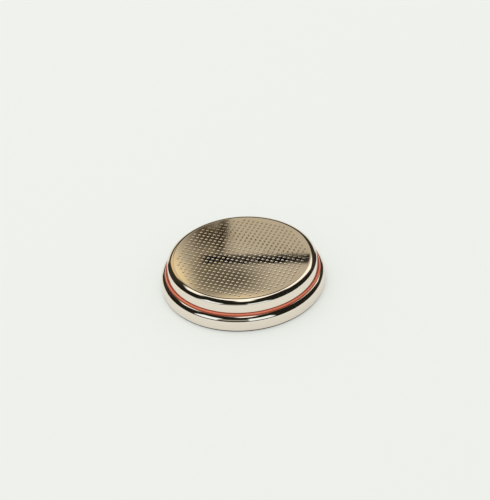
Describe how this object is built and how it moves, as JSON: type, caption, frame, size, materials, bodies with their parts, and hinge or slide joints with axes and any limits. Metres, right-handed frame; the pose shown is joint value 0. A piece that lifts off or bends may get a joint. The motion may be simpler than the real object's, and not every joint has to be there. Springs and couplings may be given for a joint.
{
  "type": "lithium coin cell",
  "caption": "Round lithium coin cell with a crimped steel can, a plastic gasket and a raised dimpled negative cap.",
  "frame": {"origin": "middle of the can's flat underside, on the surface that the cell lies on", "axes": "+Z along the cell's axis, from the positive can to the negative cap; X and Y are free, because the cell is round"},
  "size_m": [0.0244, 0.0244, 0.0046],
  "materials": {
    "can_steel": "bright nickel-plated steel, drawn",
    "cap_steel": "bright nickel-plated steel, drawn, flat top rolled with a fine grid of dimples",
    "gasket_plastic": "orange-red moulded polypropylene",
    "ring_steel": "plain stainless sheet",
    "pellet_black": "pressed manganese dioxide and carbon powder",
    "separator_fibre": "non-woven fibre sheet, white",
    "lithium_metal": "soft rolled lithium foil, dull silver"
  },
  "bodies": {
    "root": {"cathode_can": "can_steel", "anode_cap": "cap_steel", "gasket": "gasket_plastic", "collector_ring": "ring_steel", "cathode_pellet": "pellet_black", "separator": "separator_fibre", "lithium_disc": "lithium_metal"}
  },
  "joints": []
}
